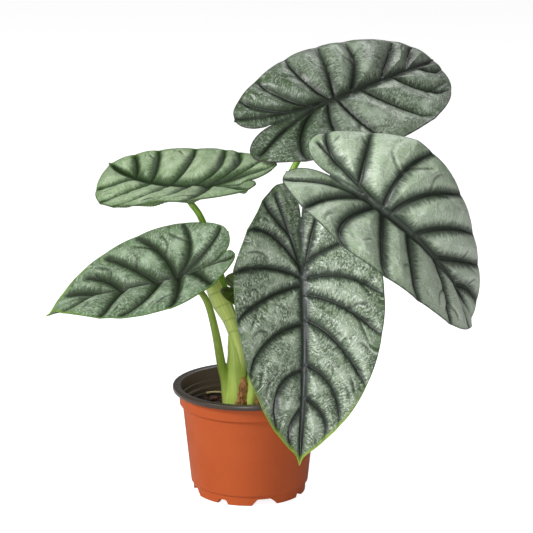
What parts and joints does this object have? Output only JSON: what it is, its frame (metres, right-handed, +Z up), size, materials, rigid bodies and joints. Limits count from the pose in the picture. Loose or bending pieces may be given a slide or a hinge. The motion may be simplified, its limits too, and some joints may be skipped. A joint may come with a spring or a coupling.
{
  "type": "potted alocasia",
  "caption": "Potted foliage plant with silvery quilted arrow-shaped leaves on slim stalks, standing in a tapered nursery pot with drainage notches in its foot.",
  "frame": {"origin": "centre of the flat disc in the middle of the pot's underside, on the surface that the pot stands on", "axes": "+Z up, -Y towards the front, where the large hanging leaf faces, +X to the right seen from the front"},
  "size_m": [0.3166, 0.2562, 0.3262],
  "materials": {
    "pot_plastic": "thin injection-moulded nursery pot, satin terracotta outside, dark brown inside and on the lip",
    "mix": "dark crumbly peat and bark potting mix",
    "rhizome": "rough brown crown with pale roots",
    "leaf": "thick quilted leaf, silvery grey-green with dark sunken veins, satin",
    "young_leaf": "young folded leaf, dark olive green",
    "stalk": "smooth fresh green stalk with a faint sheen",
    "sheath": "thin pale green leaf sheath, creased",
    "dry_bract": "dry papery brown bract",
    "bark": "rough reddish brown bark chip",
    "straw": "dry straw-coloured fibre"
  },
  "bodies": {
    "root": {"pot": "pot_plastic", "potting_mix": "mix", "rhizome": "rhizome", "blade_front": "leaf", "petiole_front": "stalk", "blade_right": "leaf", "petiole_right": "stalk", "blade_top": "leaf", "petiole_top": "stalk", "blade_left_low": "leaf", "petiole_left_low": "stalk", "blade_left_high": "leaf", "petiole_left_high": "stalk", "blade_young": "young_leaf", "petiole_young": "stalk", "pale_sheath": "sheath", "front_cataphyll": "dry_bract", "side_cataphyll": "dry_bract", "bark_chip_1": "bark", "bark_chip_2": "bark", "bark_chip_3": "bark", "bark_chip_4": "bark", "bark_chip_5": "bark", "straw_strand": "straw"}
  },
  "joints": []
}
